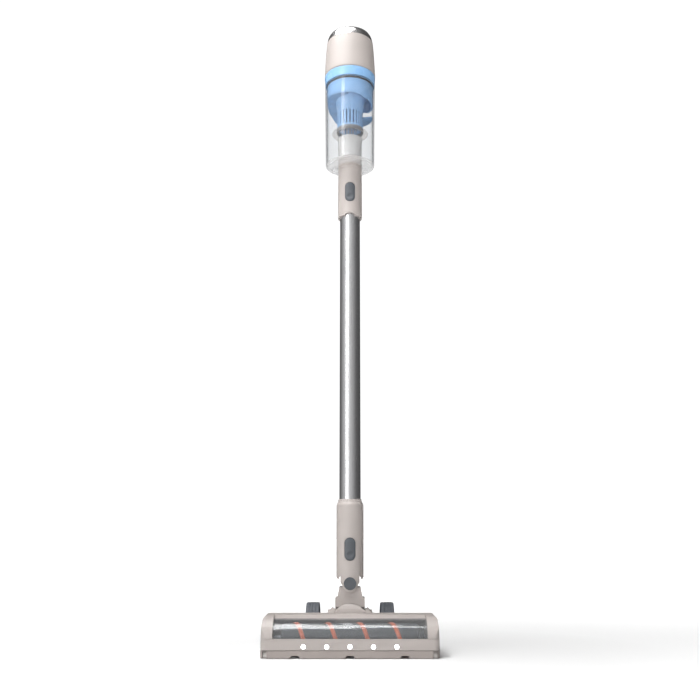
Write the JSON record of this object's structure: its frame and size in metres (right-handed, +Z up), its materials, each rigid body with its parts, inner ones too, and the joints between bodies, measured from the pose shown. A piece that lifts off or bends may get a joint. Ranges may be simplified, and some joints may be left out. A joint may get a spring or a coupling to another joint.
{
  "type": "cordless stick vacuum",
  "caption": "Upright stick vacuum with a motorised brush head, aluminium wand, clear dust bucket, cyclone, motor unit and loop handle.",
  "frame": {"origin": "centre of the overall box, on the floor", "axes": "+Z up along the wand, -Y the front of the floor head, +X to the right seen from the front"},
  "size_m": [0.266, 0.217, 1.0838],
  "materials": {
    "taupe": "satin moulded plastic",
    "sole": "satin moulded plastic",
    "clear": "polished clear plastic",
    "frosted": "frosted clear plastic",
    "dark": "fine grained dark plastic",
    "pale": "smooth pale plastic",
    "blue": "translucent blue plastic",
    "tube": "satin anodised",
    "chrome": "bright plated",
    "steel": "machined",
    "rubber": "soft black rubber",
    "nap": "short dark pile",
    "bristle": "orange-red bristles",
    "board": "circuit board",
    "paper": "pleated filter paper",
    "cells": "shrink-wrapped cells"
  },
  "bodies": {
    "floor_head": {"head_shell": "taupe", "sole_plate": "sole", "brush_window": "clear", "light_bar": "taupe", "led_board": "board", "led_lenses": "clear", "end_cap_left": "taupe", "end_cap_right": "taupe", "hub_cover": "taupe", "brush_motor": "steel", "drive_belt": "rubber", "axle_pins": "steel", "glide_strip": "nap", "head_screws": "steel"},
    "brush": {"brush_core": "dark", "brush_nap": "nap", "bristle_strip": "bristle", "brush_pulley": "dark"},
    "motor_rotor": {"motor_pulley": "dark"},
    "latch": {"brush_latch": "dark"},
    "wheel_left": {"rear_wheel_left": "dark"},
    "wheel_right": {"rear_wheel_right": "dark"},
    "roller_left": {"front_roller_left": "pale"},
    "roller_right": {"front_roller_right": "pale"},
    "elbow": {"elbow": "taupe", "airway_hose": "rubber"},
    "neck": {"neck_connector": "taupe", "swivel_pins": "dark", "nozzle_button_spring": "steel"},
    "nozzle_release": {"nozzle_button": "dark"},
    "wand": {"wand_tube": "tube", "lower_collar": "taupe", "upper_collar": "taupe", "wand_button_spring": "steel"},
    "wand_release": {"wand_button": "dark"},
    "bucket": {"dust_bucket": "clear", "bucket_floor": "frosted", "inlet_neck": "taupe", "inlet_tube": "clear"},
    "flap": {"inlet_flap": "dark"},
    "cyclone": {"cyclone_body": "blue", "shroud": "blue", "skirt_disc": "frosted", "seal_ring": "rubber"},
    "filter": {"filter_frame": "blue", "filter_pleats": "paper"},
    "motor_unit": {"motor_housing": "taupe", "chrome_band": "chrome", "top_panel": "dark", "suction_motor": "steel", "handle_left": "taupe", "handle_right": "taupe", "main_board": "board", "charge_socket": "dark"},
    "fan": {"impeller": "pale"},
    "power": {"power_button": "pale"},
    "bucket_release": {"bucket_button": "dark"},
    "battery": {"battery_case": "taupe", "battery_cells": "cells"},
    "battery_release": {"battery_latch": "pale"}
  },
  "joints": [
    {"name": "brush_spin", "type": "hinge", "parent": "floor_head", "child": "brush", "pos_m": [0, -0.0785, 0.0255], "axis": [1, 0, 0], "continuous": true},
    {"name": "motor_rotor_spin", "type": "hinge", "parent": "floor_head", "child": "motor_rotor", "pos_m": [0, -0.0265, 0.03], "axis": [1, 0, 0], "continuous": true},
    {"name": "latch_slide", "type": "slide", "parent": "floor_head", "child": "latch", "axis": [0, 1, 0], "range_m": [0, 0.008]},
    {"name": "wheel_left_spin", "type": "hinge", "parent": "floor_head", "child": "wheel_left", "pos_m": [-0.0605, 0.023, 0.0345], "axis": [1, 0, 0], "continuous": true},
    {"name": "wheel_right_spin", "type": "hinge", "parent": "floor_head", "child": "wheel_right", "pos_m": [0.0605, 0.023, 0.0345], "axis": [1, 0, 0], "continuous": true},
    {"name": "roller_left_spin", "type": "hinge", "parent": "floor_head", "child": "roller_left", "pos_m": [-0.126, -0.0995, 0.005], "axis": [1, 0, 0], "continuous": true},
    {"name": "roller_right_spin", "type": "hinge", "parent": "floor_head", "child": "roller_right", "pos_m": [0.126, -0.0995, 0.005], "axis": [1, 0, 0], "continuous": true},
    {"name": "elbow_tilt", "type": "hinge", "parent": "floor_head", "child": "elbow", "pos_m": [0, -0.0085, 0.048], "axis": [-1, 0, 0], "range_deg": [0, 75]},
    {"name": "neck_swivel", "type": "hinge", "parent": "elbow", "child": "neck", "pos_m": [0, -0.0165, 0.102], "axis": [0, 1, 0], "range_deg": [-35, 35]},
    {"name": "nozzle_button_press", "type": "slide", "parent": "neck", "child": "nozzle_release", "axis": [0, 1, 0], "range_m": [0, 0.001], "stiffness_N_per_m": 300, "springref_m": -0.002, "deforming": ["nozzle_button_spring"]},
    {"name": "wand_pull_off", "type": "slide", "parent": "neck", "child": "wand", "axis": [0, 0, 1], "range_m": [0, 0.05]},
    {"name": "wand_button_press", "type": "slide", "parent": "wand", "child": "wand_release", "axis": [0, 1, 0], "range_m": [0, 0.001], "stiffness_N_per_m": 300, "springref_m": -0.002, "deforming": ["wand_button_spring"]},
    {"name": "bucket_pull_off", "type": "slide", "parent": "wand", "child": "bucket", "axis": [0, 0, 1], "range_m": [0, 0.05]},
    {"name": "flap_swing", "type": "hinge", "parent": "bucket", "child": "flap", "pos_m": [0, -0.003, 0.8794], "axis": [-1, 0, 0], "range_deg": [0, 75]},
    {"name": "cyclone_lift", "type": "slide", "parent": "bucket", "child": "cyclone", "axis": [0, 0, 1], "range_m": [0, 0.17]},
    {"name": "filter_lift", "type": "slide", "parent": "cyclone", "child": "filter", "axis": [0, 0, 1], "range_m": [0, 0.03]},
    {"name": "motor_unit_lift", "type": "slide", "parent": "filter", "child": "motor_unit", "axis": [0, 0, 1], "range_m": [0, 0.05]},
    {"name": "fan_spin", "type": "hinge", "parent": "motor_unit", "child": "fan", "pos_m": [0, -0.0165, 1.01], "axis": [0, 0, 1], "continuous": true},
    {"name": "power_button_press", "type": "slide", "parent": "motor_unit", "child": "power", "axis": [0, 0, -1], "range_m": [0, 0.001], "stiffness_N_per_m": 300, "springref_m": -0.002},
    {"name": "bucket_button_press", "type": "slide", "parent": "motor_unit", "child": "bucket_release", "axis": [1, 0, 0], "range_m": [0, 0.002], "stiffness_N_per_m": 300, "springref_m": -0.002},
    {"name": "battery_slide", "type": "slide", "parent": "motor_unit", "child": "battery", "axis": [0, 0, -1], "range_m": [0, 0.06]},
    {"name": "battery_latch_press", "type": "slide", "parent": "battery", "child": "battery_release", "axis": [0, -1, 0], "range_m": [0, 0.0015], "stiffness_N_per_m": 300, "springref_m": -0.002}
  ],
  "couplings": [
    {"joint": "motor_rotor_spin", "follows": "brush_spin", "ratio": 2}
  ]
}
